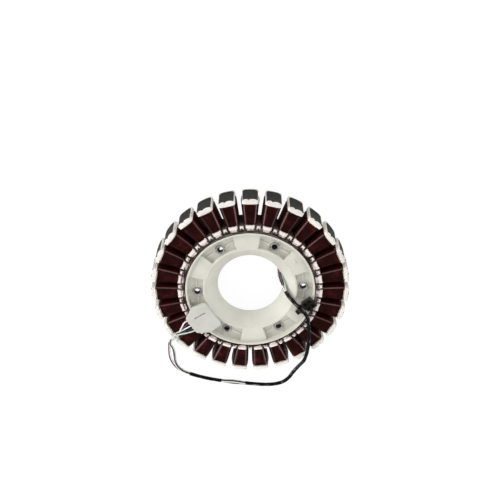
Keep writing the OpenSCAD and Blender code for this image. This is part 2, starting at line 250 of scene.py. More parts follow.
def rounded(profile, radius, steps=4):
    """A closed profile with each corner rounded, to the radius or as far as its sides allow."""
    done = []
    count = len(profile)
    for i in range(count):
        here = Vector(profile[i])
        back = Vector(profile[i - 1]) - here
        ahead = Vector(profile[(i + 1) % count]) - here
        turn = back.angle(ahead)
        reach = min(radius / math.tan(turn / 2), back.length * 0.45, ahead.length * 0.45)
        start = here + back.normalized() * reach
        end = here + ahead.normalized() * reach
        for k in range(steps + 1):
            t = k / steps
            done.append(tuple(start * (1 - t) ** 2 + here * 2 * t * (1 - t) + end * t * t))
    return done


def joined(solids):
    """Several solids as one."""
    whole = bmesh.new()
    for solid in solids:
        scratch = bpy.data.meshes.new("scratch")
        solid.to_mesh(scratch)
        solid.free()
        whole.from_mesh(scratch)
        bpy.data.meshes.remove(scratch)
    return whole


def moved(solid, matrix):
    """A solid turned or moved to its place."""
    bmesh.ops.transform(solid, matrix=matrix, verts=solid.verts)
    if matrix.determinant() < 0:
        bmesh.ops.reverse_faces(solid, faces=solid.faces)
    return solid


def as_mesh(name, solid, smooth=35.0):
    """A solid in millimetres as a mesh in metres, smooth but for its sharp edges."""
    mesh = bpy.data.meshes.new(name)
    bmesh.ops.scale(solid, vec=(MM, MM, MM), verts=solid.verts)
    solid.to_mesh(mesh)
    solid.free()
    mesh.shade_smooth()
    mesh.set_sharp_from_angle(angle=math.radians(smooth))
    return mesh


def as_solid(*meshes):
    """Meshes in metres as one solid in millimetres."""
    solid = bmesh.new()
    for mesh in meshes:
        solid.from_mesh(mesh)
    bmesh.ops.scale(solid, vec=(1 / MM, 1 / MM, 1 / MM), verts=solid.verts)
    return solid


def as_piece(name, mesh, finish, slot, *nodes):
    """A finished piece, which rides on the part and stands for its CAD nodes."""
    piece = bpy.data.objects.new(name, mesh)
    bpy.context.scene.collection.objects.link(piece)
    mesh.materials.clear()
    mesh.materials.append(finish)
    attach(piece, "root")
    if nodes:
        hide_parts(*nodes)
    return piece


def new_tree(name, inputs, output):
    """A geometry node tree with its inputs and its output by name, and its two end nodes."""
    tree = bpy.data.node_groups.new(name, "GeometryNodeTree")
    for label, kind in inputs:
        tree.interface.new_socket(name=label, in_out="INPUT", socket_type="NodeSocket" + kind)
    tree.interface.new_socket(name=output, in_out="OUTPUT", socket_type="NodeSocketGeometry")
    return tree, tree.nodes.new("NodeGroupInput"), tree.nodes.new("NodeGroupOutput")


def round_tree():
    """A node tree that sets copies of a shape evenly round the axis."""
    tree, given, made = new_tree("set_round_the_axis", (
        ("Shape", "Geometry"), ("Count", "Int"), ("First angle", "Float"), ("Finish", "Material")), "Ring")
    points = tree.nodes.new("GeometryNodePoints")
    number = tree.nodes.new("GeometryNodeInputIndex")
    share = tree.nodes.new("ShaderNodeMath")
    share.operation = "DIVIDE"
    turn = tree.nodes.new("ShaderNodeMath")
    turn.operation = "MULTIPLY_ADD"
    turn.inputs[1].default_value = 2 * math.pi
    about = tree.nodes.new("ShaderNodeCombineXYZ")
    copies = tree.nodes.new("GeometryNodeInstanceOnPoints")
    real = tree.nodes.new("GeometryNodeRealizeInstances")
    coat = tree.nodes.new("GeometryNodeSetMaterial")
    join = tree.links.new
    join(given.outputs["Count"], points.inputs["Count"])
    join(number.outputs[0], share.inputs[0])
    join(given.outputs["Count"], share.inputs[1])
    join(share.outputs[0], turn.inputs[0])
    join(given.outputs["First angle"], turn.inputs[2])
    join(turn.outputs[0], about.inputs["Z"])
    join(points.outputs[0], copies.inputs["Points"])
    join(given.outputs["Shape"], copies.inputs["Instance"])
    join(about.outputs[0], copies.inputs["Rotation"])
    join(copies.outputs[0], real.inputs[0])
    join(real.outputs[0], coat.inputs["Geometry"])
    join(given.outputs["Finish"], coat.inputs["Material"])
    join(coat.outputs[0], made.inputs[0])
    return tree


def grown(name, mesh, tree, values):
    """The plain mesh that a node tree makes of a mesh, with its inputs set by name."""
    seed = bpy.data.objects.new(name + "_seed", mesh)
    bpy.context.scene.collection.objects.link(seed)
    maker = seed.modifiers.new("maker", "NODES")
    maker.node_group = tree
    for item in tree.interface.items_tree:
        if item.in_out == "INPUT" and item.name in values:
            maker[item.identifier] = values[item.name]
    ready = seed.evaluated_get(bpy.context.evaluated_depsgraph_get())
    result = bpy.data.meshes.new_from_object(ready)
    seed.modifiers.remove(maker)
    bpy.data.objects.remove(seed)
    result.name = name
    return result


def moulded(name, pale, dark, low_rough, high_rough, grain=0.25):
    """Moulded plastic: two close tones in soft clouds, a fine grain and uneven gloss."""
    finish, tree, shader, place = new_finish(name)
    tone = tones(tree, clouds(tree, place, 38, 5), [(0.32, dark), (0.62, pale)])
    tree.links.new(tone, shader.inputs["Base Color"])
    gloss = spread(tree, clouds(tree, place, 160), low_rough, high_rough)
    tree.links.new(gloss, shader.inputs["Roughness"])
    relief(tree, shader, clouds(tree, place, 2600, 2), 0.00006, grain)
    shader.inputs["Specular IOR Level"].default_value = 0.3
    return finish


def face_at(y):
    """How far out the rounded pole face lies at a place across it."""
    return CORE_R - FACE_R + math.sqrt(FACE_R**2 - y**2)


def flange_outline():
    """Outline of half a flange, up from the core's middle, with its far corners rounded."""
    side = FLANGE_W / 2
    points = [(-side, 0), (side, 0)]
    for k in range(7):
        a = math.radians(15 * k)
        across = side - FLANGE_ROUND * (1 - math.cos(a))
        points.append((across, FLANGE_RISE - FLANGE_ROUND * (1 - math.sin(a))))
    return points + [(-x, z) for x, z in reversed(points[2:])]


def lip_frame(out):
    """The lip that frames the sides of a pole face and closes its end."""
    side = SHOE_W / 2
    outer = flange_outline()
    inner = [(-side, 0), (-side, HALF_STACK), (side, HALF_STACK), (side, 0)]
    return moved(prism(outer[1:] + outer[:1] + inner, FLANGE_BACK_R, out, 0.25), STAND)


def lip_film():
    """The scalloped ledge of the front lip, two round lobes that lap over the end of the stack."""
    film = bmesh.new()
    low = HALF_STACK + 0.05
    top = HALF_STACK + LIP_STEP
    rows = []
    for k in range(33):
        y = -LEDGE_W / 2 + LEDGE_W * k / 32
        lap = max(0.0, *(1 - ((y - middle) / half) ** 2 for middle, half in LOBES))
        out = LIP_R + math.sqrt(lap) * (face_at(y) - LIP_R) + 0.05
        rows.append([film.verts.new(p) for p in (
            (LIP_R - 1, y, low), (out - 0.1, y, low), (out, y, low + 0.3),
            (out - 0.1, y, top - 0.5), (out - 0.6, y, top), (LIP_R - 1, y, top),
        )])
    return skinned(film, rows)


def lip_corners():
    """The thin round corners of the rear lip, which lap over the pole face's own corners."""
    corners = bmesh.new()
    side = SHOE_W / 2
    for turn in (-1, 1):
        rows = []
        for k in range(9):
            y = side + 0.2 - CORNER_R * k / 8
            lap = CORNER_R * (1 - math.sqrt(max(0.0, 1 - (1 - k / 8) ** 2)))
            out = face_at(y)
            low = HALF_STACK - lap
            top = HALF_STACK + 0.6
            rows.append([corners.verts.new((r, turn * y, z)) for r, z in (
                (out - 0.6, low - 0.05), (out + 0.1, low - 0.05), (out + 0.2, low + 0.15),
                (out + 0.1, top), (out - 0.6, top),
            )])
        skinned(corners, rows)
    return corners


def tooth_cover(block_top, fancy):
    """What half an insulator has at one tooth, as if the tooth pointed along X."""
    half = LINER_W / 2
    wide = BLOCK_W / 2
    parts = [
        block((WALL_IN_R, -half, 0), (FLANGE_IN_R + 1, half, DECK), 0.4),
        moved(prism(flange_outline(), FLANGE_IN_R, FLANGE_BACK_R, 0.45), STAND),
        lip_frame(LIP_R if fancy else FLANGE_OUT_R),
        block((BLOCK_STEP_R, -wide, DECK - 1), (BLOCK_OUT_R, wide, block_top), 0.45),
        block((BLOCK_IN_R, -wide + 0.6, DECK - 1), (BLOCK_STEP_R + 0.6, wide - 0.6, block_top - 0.7), 0.4),
    ]
    parts.append(lip_film() if fancy else lip_corners())
    if fancy:
        edge = SHOE_W / 4 + FLANGE_W / 4
        for side in (-1, 1):
            parts.append(block((LIP_R - 1, side * edge - STRIP_W / 2, 0),
                               (FLANGE_OUT_R, side * edge + STRIP_W / 2, HALF_STACK + 1.2), 0.2))
            parts.append(block((BLOCK_STEP_R + 0.5, side * wide - 0.9, DECK - 1),
                               (BLOCK_OUT_R + 0.5, side * wide + 0.9, block_top - 1.2), 0.35))
    return joined(parts)


def wire_post():
    """A post between two teeth that guides the coil leads, as if it stood on the X axis."""
    half = POST_W / 2
    return joined([
        block((POST_IN_R, -half, DECK - 1), (POST_OUT_R, half, POST_TOP - 1.6), 0.5),
        block((POST_IN_R + 0.9, -half + 0.7, DECK - 1), (POST_OUT_R - 0.4, half - 0.7, POST_TOP), 0.5),
        block((POST_IN_R - 1.5, -half - 0.2, DECK - 1), (POST_IN_R + 0.4, -half + 1.1, DECK + 2.6), 0.3),
        block((POST_IN_R - 1.5, half - 1.1, DECK - 1), (POST_IN_R + 0.4, half + 0.2, DECK + 2.6), 0.3),
    ])


white_moulding = moulded("white_moulding", seen(227, 223, 216), seen(215, 210, 204), 0.4, 0.55)
tree = white_moulding.node_tree
shader = tree.nodes["Principled BSDF"]
unshaded_tone = shader.inputs["Base Color"].links[0].from_socket
place = tree.nodes["Texture Coordinate"].outputs["Object"]
axes = split(tree, place)
flat = tree.nodes.new("ShaderNodeCombineXYZ")
tree.links.new(axes["X"], flat.inputs["X"])
tree.links.new(axes["Y"], flat.inputs["Y"])
radius = length_of(tree, flat.outputs[0])
# Near the yoke the white moulding is painted darker the lower it lies, up to about 35 mm: painted shade in
# the slots between the coils and in the channel, with blotches of darker painted shade in the channel.
near_yoke = spread(tree, radius, 0.0, 1.0, 0.0985, 0.0955)
in_channel = spread(tree, radius, 0.0, 0.85, 0.0925, 0.0895)
stain_and_painted_shade = tones(tree, sums(tree, "MULTIPLY", axes["Z"], 25.0), [
    (0.5, seen(42, 34, 32)), (0.868, seen(74, 63, 60)),
    (0.892, seen(216, 206, 200)), (0.96, seen(229, 219, 213)),
])
patches = tones(tree, clouds(tree, place, 240, 4), [(0.46, BLACK), (0.64, WHITE)])
painted_slot_and_channel_shade = mixed(tree, sums(tree, "MULTIPLY", in_channel, patches), stain_and_painted_shade, seen(146, 133, 125))
tree.links.new(mixed(tree, near_yoke, unshaded_tone, painted_slot_and_channel_shade), shader.inputs["Base Color"])
set_round = round_tree()
channel = rounded([
    (YOKE_IN_R + 0.1, HALF_STACK), (YOKE_IN_R + 0.1, DECK), (WALL_OUT_R, DECK),
    (WALL_OUT_R, 0), (WALL_IN_R, 0), (WALL_IN_R, HALF_STACK),
], 0.4, 2)
for name, node, block_top, front in (
    ("front_insulator_moulding", "front_insulator", DECK + 3, True),
    ("rear_insulator_moulding", "rear_insulator", DECK + 2, False),
):
    ring = {"Count": TEETH, "First angle": FIRST_TOOTH, "Finish": white_moulding}
    cover = as_mesh("tooth_cover", tooth_cover(block_top, front))
    rings = [grown(name + "_teeth", cover, set_round, ring)]
    if front:
        ring["First angle"] += PITCH / 2
        rings.append(grown(name + "_posts", as_mesh("wire_post", wire_post()), set_round, ring))
    whole = joined([as_solid(*rings), turned(channel, 216)])
    if not front:
        moved(whole, Matrix.Scale(-1, 4, (0, 0, 1)))
    moved(whole, Matrix.Translation((0, 0, STACK_MIDDLE)))
    as_piece(name, as_mesh(name, whole), white_moulding, "white_plastic", node)

# The coils: one winding of enamelled copper wire round each tooth, wound in place in even
# turns. Only the outer layer is made, as close rings of wire that the winder has flattened.
WIRE_D = 1.0
COIL_IN_R = 95.4
COIL_OUT_R = 122.6
TURNS = 27
BUILD_IN = 2.1
BUILD_OUT = 4.4
BUILD_END = 1.3
COIL_ROUND = 4.8
SWELL_IN = 1.5
SWELL_OUT = 1.9


def wire_tree():
    """A node tree that makes round wire along the edges of a mesh."""
    tree, given, made = new_tree("wire_along_a_path", (
        ("Path", "Geometry"), ("Wire radius", "Float"), ("Sides", "Int"), ("Finish", "Material")), "Wire")
    line = tree.nodes.new("GeometryNodeMeshToCurve")
    ring = tree.nodes.new("GeometryNodeCurvePrimitiveCircle")
    skin = tree.nodes.new("GeometryNodeCurveToMesh")
    skin.inputs["Fill Caps"].default_value = True
    real = tree.nodes.new("GeometryNodeRealizeInstances")
    coat = tree.nodes.new("GeometryNodeSetMaterial")
    join = tree.links.new
    join(given.outputs["Path"], line.inputs["Mesh"])
    join(given.outputs["Sides"], ring.inputs["Resolution"])
    join(given.outputs["Wire radius"], ring.inputs["Radius"])
    join(line.outputs[0], skin.inputs["Curve"])
    join(ring.outputs[0], skin.inputs["Profile Curve"])
    join(skin.outputs[0], real.inputs[0])
    join(real.outputs[0], coat.inputs["Geometry"])
    join(given.outputs["Finish"], coat.inputs["Material"])
    join(coat.outputs[0], made.inputs[0])
    return tree


def paths_mesh(name, paths):
    """Lines through points in millimetres, as the edges of a mesh in metres."""
    points, edges = [], []
    for path in paths:
        first = len(points)
        points += [tuple(MM * c for c in p) for p in path]
        edges += [(k, k + 1) for k in range(first, len(points) - 1)]
    mesh = bpy.data.meshes.new(name)
    mesh.from_pydata(points, edges, [])
    return mesh


def wire(name, paths, diameter, sides, finish):
    """Round wire along one or more paths, as a mesh with its faces outward."""
    made = grown(name, paths_mesh(name + "_path", paths), along_path,
                 {"Wire radius": diameter / 2 * MM, "Sides": sides, "Finish": finish})
    solid = bmesh.new()
    solid.from_mesh(made)
    bmesh.ops.recalc_face_normals(solid, faces=solid.faces)
    solid.to_mesh(made)
    solid.free()
    made.shade_smooth()
    return made


def turn_points(r, sink, steps):
    """The outline of a winding at radius r, from the rear right corner round by the front.

    Its sides swell between the front and the rear, where the turns stand off the tooth."""
    along = (r - COIL_IN_R) / (COIL_OUT_R - COIL_IN_R)
    build = BUILD_IN + (BUILD_OUT - BUILD_IN) * along - sink
    swell = SWELL_IN + (SWELL_OUT - SWELL_IN) * along
    w = LINER_W / 2 + build - COIL_ROUND
    h = DECK + BUILD_END - sink - COIL_ROUND

    def swollen(out, up):
        share = max(0.0, 1 - (up / (h + COIL_ROUND)) ** 2)
        return math.copysign(swell, out) * share * min(1.0, abs(out) / (w + COIL_ROUND)) ** 4

    points = []
    for corner, (sx, sz) in enumerate(((1, -1), (1, 1), (-1, 1), (-1, -1))):
        for k in range(steps + 1):
            a = math.radians(-90 + 90 * (corner + k / steps))
            out = sx * w + COIL_ROUND * math.cos(a)
            up = sz * h + COIL_ROUND * math.sin(a)
            points.append((r, out + swollen(out, up), STACK_MIDDLE + up))
        if corner in (0, 2):
            for k in range(1, steps):
                up = sz * h * (1 - 2 * k / steps)
                out = sx * (w + COIL_ROUND)
                points.append((r, out + swollen(out, up), STACK_MIDDLE + up))
    return points


def winding(seed):
    """The outer layer of one coil along X: close, flattened turns, each a little uneven."""
    chance = random.Random(seed)
    step = (COIL_OUT_R - COIL_IN_R) / TURNS
    body = bmesh.new()
    rings = []
    for turn in range(TURNS):
        lift = chance.uniform(0, 0.02)
        for share, sink in ((0.06, 0.05), (0.3, 0.02), (0.7, 0.02), (0.94, 0.05)):
            r = COIL_IN_R + (turn + share) * step
            rings.append([body.verts.new(p) for p in turn_points(r, sink + lift, 8)])
    return skinned(body, rings)


enamel, tree, shader, place = new_finish("maroon_wire_enamel")
# The enamel is painted by which way each face looks, as lit and shaded copies of one colour: the faces that
# look up get a darker tone with lighter painted sheen patches, and the sides a tone of their own.
up_faces_tone_with_painted_sheen = tones(tree, clouds(tree, place, 85, 4), [
    (0.3, seen(22, 6, 6)), (0.55, seen(36, 10, 10)), (0.75, seen(66, 18, 19))])
side_faces_painted_tone = tones(tree, clouds(tree, place, 130, 4), [(0.3, seen(32, 9, 9)), (0.7, seen(58, 16, 16))])
facing = split(tree, tree.nodes["Texture Coordinate"].outputs["Normal"])
upward = spread(tree, facing["Z"], 0.0, 1.0, 0.3, 0.7)
tree.links.new(mixed(tree, upward, side_faces_painted_tone, up_faces_tone_with_painted_sheen), shader.inputs["Base Color"])
tree.links.new(spread(tree, clouds(tree, place, 90), 0.06, 0.28), shader.inputs["Roughness"])
shader.inputs["Specular IOR Level"].default_value = 0.26
shader.inputs["Specular Tint"].default_value = (1.0, 0.68, 0.66, 1)
along_path = wire_tree()
for tooth in range(TEETH):
    name = f"coil_winding_{tooth + 1:02d}"
    coil = moved(winding(40 + tooth), Matrix.Rotation(FIRST_TOOTH + tooth * PITCH, 4, "Z"))
    as_piece(name, as_mesh(name, coil, 60), enamel, "magnet_wire", f"coil_{tooth + 1:02d}")

# The crossover wires: the coils' ends, led past the posts into the channel behind the hub's
# rim and laid round it from coil to coil. They are the same enamelled copper wire.
BUNDLES = (
    (85.6, 38.4, 0.0, 2 * math.pi), (87.4, 38.5, 2.72, 0.32), (90.9, 38.6, 2.74, 0.3),
    (87.4, 38.5, 3.28, 0.24), (90.9, 38.6, 3.26, 0.24), (86.8, 37.6, 4.0, 1.5),
    (88.4, 38.1, 5.3, 0.5), (87.4, 38.0, 1.15, 0.5))
BUNDLE_STEP = 0.035
BESIDE_POST = 3.1 / 90


def polar(r, turn, z):
    """A point at a radius and an angle in radians."""
    return (r * math.cos(turn), r * math.sin(turn), z)


chance = random.Random(11)
runs = []
for r, z, start, length in BUNDLES:
    count = int(length / BUNDLE_STEP)
    runs.append([
        polar(r + 0.22 * math.sin(9 * k * length / count + start), start + k * length / count,
              z + 0.12 * math.sin(7 * k * length / count)) for k in range(count)
    ])
for slot in range(TEETH):
    middle = FIRST_TOOTH + (slot + 0.5) * PITCH
    for side in (-1, 1):
        if chance.random() < 0.5:
            continue
        reach = chance.uniform(0.1, 0.2)
        height = chance.uniform(37.2, 38.6)
        runs.append([
            polar(96.6, middle + side * 0.052, 33.6), polar(95.2, middle + side * 0.046, 35.4),
            polar(93.4, middle + side * BESIDE_POST * 1.15, 35.6),
            polar(91.2, middle + side * BESIDE_POST, 35.6),
            polar(89.6, middle + side * BESIDE_POST * 0.8, height),
            polar(88.2, middle - side * 0.03, height),
            polar(87.4, middle - side * (0.05 + reach / 2), height - 0.2),
            polar(86.8, middle - side * (0.08 + reach), height - 0.5),
        ])
crossover = wire("crossover_leads", runs, WIRE_D, 6, enamel)
as_piece("crossover_leads", crossover, enamel, "magnet_wire", "crossover_wires")

# The hub: one ivory moulding with a smooth funnel down to the bore, six pockets with bosses
# and ribs, and six flat raised panels. It is pressed into the core and holds the bushes.
HUB_R = 84.8
RIM_Z = 39.4
RIM_T = 2.4
CREST_R = 59.7
BORE_R = 43.0
THROAT_Z = 19.0
HUB_T = 2.4
POCKET_IN_R = CREST_R + HUB_T
POCKET_OUT_R = HUB_R - RIM_T
FLOOR_Z = 31.0
PANEL_Z = 36.0
PANEL_HALF = math.radians(12.7)
BOLTS = 6
FIRST_BOLT = math.radians(3.333)
BOLT_R = 69.6
BUSH_D = 12.4
BOSS_R = 7.6
BOSS_TOP = 32.9
COLLAR_Z = 25.0
SEAT_T = 4.0
RIB_T = 2.2
RIB_H = 1.2
UNDER_RIB_Z = 18.6
DASH_R = 56.0
DASH_L = 8.0
DASH_W = 1.4
DASH_RISE = 0.35
SOCKETS = ((79.3, 194.4), (65.0, 233.6))
SOCKET_IN_R = 1.2
SOCKET_OUT_R = 2.3
SOCKET_H = 3.4
DOME_R = 2.2
DOME_AT = (HUB_R - 13.7, math.radians(36), 0)
LAP = 0.6
SLOPE = (PANEL_Z - THROAT_Z) / (CREST_R - BORE_R)


def sector(r1, r2, half, steps=10):
    """Outline of a part of a ring, centred on the X axis."""
    turns = [half * (2 * k / steps - 1) for k in range(steps + 1)]
    return [polar(r1, a, 0)[:2] for a in turns] + [polar(r2, a, 0)[:2] for a in reversed(turns)]


def hub_sixth():
    """A pocket with its boss and ribs, and the panel that follows it, round the X axis."""
    next_panel = Matrix.Rotation(math.pi / BOLTS, 4, "Z")
    pocket_half = math.pi / BOLTS - PANEL_HALF
    wall_half = HUB_T / BOLT_R / 2
    hole = BUSH_D / 2 + 0.05
    seat_r = BUSH_D / 2 - 1.2
    sunk = FLOOR_Z - 1
    boss = rounded([(hole, COLLAR_Z), (BOSS_R, COLLAR_Z), (BOSS_R, BOSS_TOP), (hole + 0.8, BOSS_TOP),
                    (hole, BOSS_TOP - 1.8)], 0.3, 3)
    seat = rounded([(seat_r, 0), (BOSS_R, 0), (BOSS_R, SEAT_T), (seat_r, SEAT_T)], 0.4, 3)
    foot = rounded([(BOSS_R - 1, sunk), (BOSS_R + 1.4, sunk), (BOSS_R + 1.4, FLOOR_Z + 0.2),
                    (BOSS_R + 0.2, FLOOR_Z + 1.0), (BOSS_R - 1, FLOOR_Z + 1.0)], 0.6, 3)
    at_bolt = Matrix.Translation((BOLT_R, 0, 0))
    half_floor = [(POCKET_IN_R - 1, 0)]
    for k in range(17):
        a = math.pi * k / 16
        half_floor.append((BOLT_R - hole * math.cos(a), hole * math.sin(a)))
    turns = [(pocket_half + wall_half) * k / 6 for k in range(7)]
    half_floor += [polar(POCKET_OUT_R + 1, a, 0)[:2] for a in turns]
    half_floor += [polar(POCKET_IN_R - 1, a, 0)[:2] for a in reversed(turns[1:])]
    panel = sector(POCKET_IN_R - LAP, POCKET_OUT_R + LAP, PANEL_HALF)
    parts = [
        prism(half_floor, FLOOR_Z - HUB_T, FLOOR_Z),
        moved(prism(half_floor, FLOOR_Z - HUB_T, FLOOR_Z), Matrix.Scale(-1, 4, (0, 1, 0))),
        moved(prism(panel, PANEL_Z - HUB_T, PANEL_Z, 0.7, 3, True), next_panel),
        moved(turned(boss, 48), at_bolt),
        moved(turned(foot, 48), at_bolt),
        moved(turned(seat, 48), at_bolt),
    ]
    half = RIB_T / 2
    reach = BOLT_R * math.sin(pocket_half) + 0.8
    rib_top = FLOOR_Z + RIB_H
    boss_in = BOLT_R - BOSS_R + LAP
    boss_out = BOLT_R + BOSS_R - LAP
    for low, high, edge in (
        ((BOLT_R - half, BOSS_R - LAP, sunk), (BOLT_R + half, reach, rib_top), 0.45),
        ((BOLT_R - half, -reach, sunk), (BOLT_R + half, -BOSS_R + LAP, rib_top), 0.45),
        ((POCKET_IN_R - LAP, -half, sunk), (boss_in, half, rib_top), 0.45),
        ((boss_out, -half, sunk), (POCKET_OUT_R + LAP, half, rib_top), 0.45),
        ((POCKET_IN_R - 1.2, -half, UNDER_RIB_Z), (boss_in, half, sunk), 0.3),
        ((boss_out, -half, UNDER_RIB_Z), (POCKET_OUT_R + LAP, half, sunk), 0.3),
    ):
        parts.append(block(low, high, edge))
    for k in range(3):
        leg = prism(sector(hole - 0.4, BOSS_R, math.radians(15), 6), SEAT_T - 0.5, COLLAR_Z + 0.5)
        parts.append(moved(leg, at_bolt @ Matrix.Rotation(math.radians(120 * k), 4, "Z")))
    on_funnel = Matrix.Translation((DASH_R, 0, THROAT_Z + SLOPE * (DASH_R - BORE_R)))
    on_funnel = on_funnel @ Matrix.Rotation(-math.atan(SLOPE), 4, "Y")
    dash = block((-DASH_W / 2, -DASH_L / 2, -1), (DASH_W / 2, DASH_L / 2, DASH_RISE), 0.25)
    parts.append(moved(dash, next_panel @ on_funnel))
    wall = sector(POCKET_IN_R - LAP, POCKET_OUT_R + LAP, wall_half, 2)
    for side in (-1, 1):
        beside = next_panel @ Matrix.Rotation(side * (PANEL_HALF - wall_half), 4, "Z")
        parts.append(moved(prism(wall, FLOOR_Z - HUB_T, PANEL_Z - 0.7), beside))
    return joined(parts)


funnel = rounded([
    (BORE_R, THROAT_Z - 2), (BORE_R, THROAT_Z), (CREST_R, PANEL_Z), (POCKET_IN_R, PANEL_Z),
    (POCKET_IN_R, FLOOR_Z - HUB_T), (CREST_R, FLOOR_Z - HUB_T),
    (CREST_R, THROAT_Z - 2 + SLOPE * (CREST_R - BORE_R - 2.5)), (BORE_R + 2.5, THROAT_Z - 2)], 0.9, 4)
rim = rounded([(POCKET_OUT_R, RIM_Z), (HUB_R, RIM_Z), (HUB_R, 5), (POCKET_OUT_R, 5)], 0.6, 3)
dome = rounded([(0.05, PANEL_Z - 1), (DOME_R, PANEL_Z - 1),
                (DOME_R, PANEL_Z + 2), (0.05, PANEL_Z + 2)], 0.9, 4)
ivory = moulded("ivory_moulding", seen(202, 201, 191), seen(193, 191, 180), 0.42, 0.56)
sixths = as_solid(grown("hub_sixths", as_mesh("hub_sixth", hub_sixth()), set_round,
                        {"Count": BOLTS, "First angle": FIRST_BOLT, "Finish": ivory}))
socket = rounded([(SOCKET_IN_R, FLOOR_Z - 0.5), (SOCKET_OUT_R, FLOOR_Z - 0.5),
                  (SOCKET_OUT_R, FLOOR_Z + SOCKET_H), (SOCKET_IN_R, FLOOR_Z + SOCKET_H)], 0.3, 3)
parts = [turned(funnel, 180), turned(rim, 216), sixths]
parts.append(moved(turned(dome, 24), Matrix.Translation(polar(*DOME_AT))))
for r, turn in SOCKETS:
    parts.append(moved(turned(socket, 24), Matrix.Translation(polar(r, math.radians(turn), 0))))
hub = joined(parts)
as_piece("hub_moulding", as_mesh("hub_moulding", hub), ivory, "ivory_plastic", "hub", "hub_funnel")

# The bushes: six turned steel tubes pressed into the hub's bosses, which take the clamping
# force of the mounting screws. Their edges are rounded, and the front end has a narrow groove.
BOLT_D = 8.5
BUSH_LOW = 24.6
BUSH_TOP = 33.5
GROOVE_IN_R = 4.95
GROOVE_OUT_R = 5.7
GROOVE_Z = 31.4

bush_steel, tree, shader, place = new_finish("turned_bush_steel")
bright = tones(tree, clouds(tree, place, 220), [(0.3, seen(186, 185, 180)), (0.7, seen(214, 213, 208))])
# Below the front end the steel is painted darker, in the groove and down the bore: painted shade.
front_end = spread(tree, split(tree, place)["Z"], 0.0, 1.0, 0.0316, 0.0328)
tree.links.new(mixed(tree, front_end, seen(104, 102, 97), bright), shader.inputs["Base Color"])
tree.links.new(spread(tree, clouds(tree, place, 900), 0.36, 0.48), shader.inputs["Roughness"])
shader.inputs["Metallic"].default_value = 0.55
tube_profile = rounded([
    (BOLT_D / 2, BUSH_LOW), (BUSH_D / 2, BUSH_LOW), (BUSH_D / 2, BUSH_TOP), (GROOVE_OUT_R, BUSH_TOP),
    (GROOVE_OUT_R, GROOVE_Z), (GROOVE_IN_R, GROOVE_Z), (GROOVE_IN_R, BUSH_TOP), (BOLT_D / 2, BUSH_TOP),
], 0.3, 3)
one_bush = as_mesh("one_bush", moved(turned(tube_profile, 48), Matrix.Translation((BOLT_R, 0, 0))))
bushes = grown("mounting_bushes", one_bush, set_round,
               {"Count": BOLTS, "First angle": FIRST_BOLT, "Finish": bush_steel})
as_piece("mounting_bushes", bushes, bush_steel, "bush_steel", "bolt_bushes")

# The terminal cover: a flat white cap with rounded corners over the winding's terminals. It
# snaps onto the hub and the channel, and the five leads leave through its outer face.
COVER_TURN = math.radians(213.333)
COVER_IN_R = 58.0
COVER_OUT_R = 94.0
COVER_LOW = 39.5
COVER_TOP = 44.3
COVER_WIDE = 22.0
COVER_WIDEST_R = 78.0
COVER_FACE = 11.0
SLIT_START = (66.4, -8.0)
SLIT_END = (83.6, -6.6)
SLIT_DEPTH = 3.4
GLAND_IN_R = 1.0
GLAND_OUT_R = 1.6
GLAND_L = 1.6
LEAD_SIDES = (-9.0, -4.5, 0.0, 4.5, 9.0)
LEAD_Z = 41.9

cover_white = moulded("cover_white", seen(189, 189, 181), seen(181, 180, 172), 0.42, 0.56)
cover_shape = rounded([
    (COVER_IN_R, 18), (COVER_IN_R + 3, 20), (COVER_WIDEST_R, COVER_WIDE), (COVER_OUT_R, COVER_FACE + 2),
    (COVER_OUT_R, -COVER_FACE - 2), (COVER_WIDEST_R, -COVER_WIDE), (COVER_IN_R + 3, -20), (COVER_IN_R, -18),
], 3.5, 5)
cap = as_mesh("cover_cap", prism(cover_shape, COVER_LOW, COVER_TOP, 0.7, 3, True))
slit = block((*SLIT_START, COVER_TOP - SLIT_DEPTH), (*SLIT_END, COVER_TOP + 2), 0.0)
cap_piece = bpy.data.objects.new("cap_seed", cap)
slit_piece = bpy.data.objects.new("slit_seed", as_mesh("cover_slit", slit))
for seed in (cap_piece, slit_piece):
    bpy.context.scene.collection.objects.link(seed)
cut = cap_piece.modifiers.new("slit", "BOOLEAN")
cut.operation = "DIFFERENCE"
cut.solver = "EXACT"
cut.object = slit_piece
cut_cap = bpy.data.meshes.new_from_object(cap_piece.evaluated_get(bpy.context.evaluated_depsgraph_get()))
for seed in (cap_piece, slit_piece):
    bpy.data.objects.remove(seed)
gland = rounded([(GLAND_IN_R, 0), (GLAND_OUT_R, 0), (GLAND_OUT_R, GLAND_L), (GLAND_IN_R, GLAND_L)], 0.2, 2)
parts = [as_solid(cut_cap), block((64.4, -11, PANEL_Z), (81.6, 11, COVER_LOW + 0.5), 0.3)]
for side in LEAD_SIDES:
    parts.append(moved(turned(gland, 20), Matrix.Translation((COVER_OUT_R - 0.6, side, LEAD_Z))
                       @ Matrix.Rotation(math.radians(90), 4, "Y")))
cover = moved(joined(parts), Matrix.Rotation(COVER_TURN, 4, "Z"))
as_piece("terminal_cap", as_mesh("terminal_cap", cover), cover_white, "cover_plastic", "terminal_cover")

